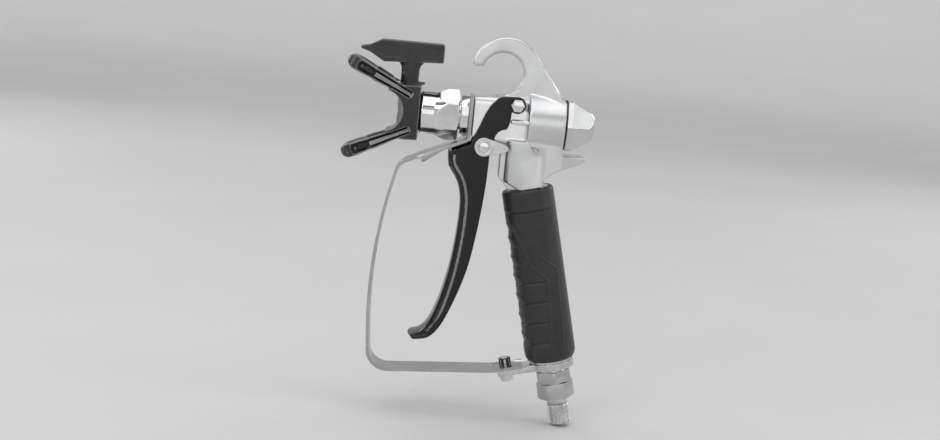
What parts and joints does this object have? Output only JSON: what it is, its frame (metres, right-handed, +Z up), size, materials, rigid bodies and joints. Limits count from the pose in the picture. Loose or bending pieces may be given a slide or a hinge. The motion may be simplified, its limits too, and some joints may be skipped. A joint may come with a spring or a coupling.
{
  "type": "airless paint sprayer",
  "caption": "Trigger gun for airless paint with hanging hook, strip trigger guard, reversible spray tip and swivel hose inlet.",
  "frame": {"origin": "centre of the hanging hook's inside circle, on the gun's middle plane", "axes": "+Z up with the barrel level, +X back along the barrel from the spray tip to the rear cap, +Y across the gun along the hook's axis, away from the lock lever"},
  "size_m": [0.1549, 0.034, 0.2322],
  "materials": {
    "body": "satin",
    "nickel": "polished",
    "steel": "satin",
    "strip": "brushed",
    "carbide": "polished",
    "tip_metal": "satin",
    "brass": "satin",
    "mesh": "woven",
    "trigger_paint": "gloss",
    "plastic": "satin",
    "black_nut": "satin",
    "rubber": "matte",
    "seals": "matte",
    "packing": "satin"
  },
  "bodies": {
    "gun": {"gun_body": "body", "rear_cap": "nickel", "rear_cap_seal": "seals", "needle_packing": "packing", "packing_nut": "brass", "outlet_fitting": "nickel", "outlet_gasket": "seals", "valve_seat": "carbide", "handle_tube": "steel", "filter_screen": "mesh", "filter_cap": "steel", "filter_spring": "steel", "grip_sleeve": "rubber", "end_fitting": "steel", "end_fitting_seal": "seals", "trigger_guard": "strip", "guard_bracket": "steel", "guard_screw": "nickel", "guard_nut": "black_nut", "pivot_bolt": "nickel", "pivot_nut": "nickel", "pivot_washers": "steel", "needle_spring": "steel", "retaining_nut": "nickel", "guard_collar_ring": "seals"},
    "trigger_body": {"trigger": "trigger_paint", "trigger_bushes": "brass"},
    "lock": {"lock_lever": "steel", "lock_shaft": "steel", "lock_screw": "nickel", "lock_ring": "steel"},
    "needle_body": {"needle": "steel", "needle_ball": "carbide", "needle_yoke": "steel", "push_pins": "steel"},
    "guard_head": {"tip_guard": "plastic", "saddle_seal": "seals", "tip_seal": "seals"},
    "tip": {"tip_barrel": "tip_metal", "tip_nozzle": "carbide", "tip_handle": "plastic"},
    "swivel": {"swivel_stem": "steel", "swivel_hex": "steel", "swivel_seal": "seals", "swivel_ring": "seals"}
  },
  "joints": [
    {"name": "trigger_pull", "type": "hinge", "parent": "gun", "child": "trigger_body", "pos_m": [0.0101, 0, -0.0172], "axis": [0, -1, 0], "range_deg": [0, 12], "stiffness_Nm_per_rad": 0.7, "springref_deg": -20.05},
    {"name": "needle_slide", "type": "slide", "parent": "gun", "child": "needle_body", "axis": [1, 0, 0], "range_m": [0, 0.0022], "deforming": ["needle_spring"]},
    {"name": "lock_turn", "type": "hinge", "parent": "trigger_body", "child": "lock", "pos_m": [-0.0075, 0, -0.0429], "axis": [0, 1, 0], "range_deg": [0, 90]},
    {"name": "guard_turn", "type": "hinge", "parent": "gun", "child": "guard_head", "pos_m": [-0.0545, 0, -0.0271], "axis": [1, 0, 0], "range_deg": [-90, 90]},
    {"name": "tip_turn", "type": "hinge", "parent": "guard_head", "child": "tip", "pos_m": [-0.0545, 0, -0.0271], "axis": [0, 0, 1], "range_deg": [0, 180]},
    {"name": "inlet_swivel", "type": "hinge", "parent": "gun", "child": "swivel", "pos_m": [0.05412, 0, -0.20288], "axis": [0.2351, 0, -0.972], "continuous": true}
  ],
  "couplings": [
    {"joint": "needle_slide", "follows": "trigger_pull", "m_per_rad": 0.010313}
  ]
}
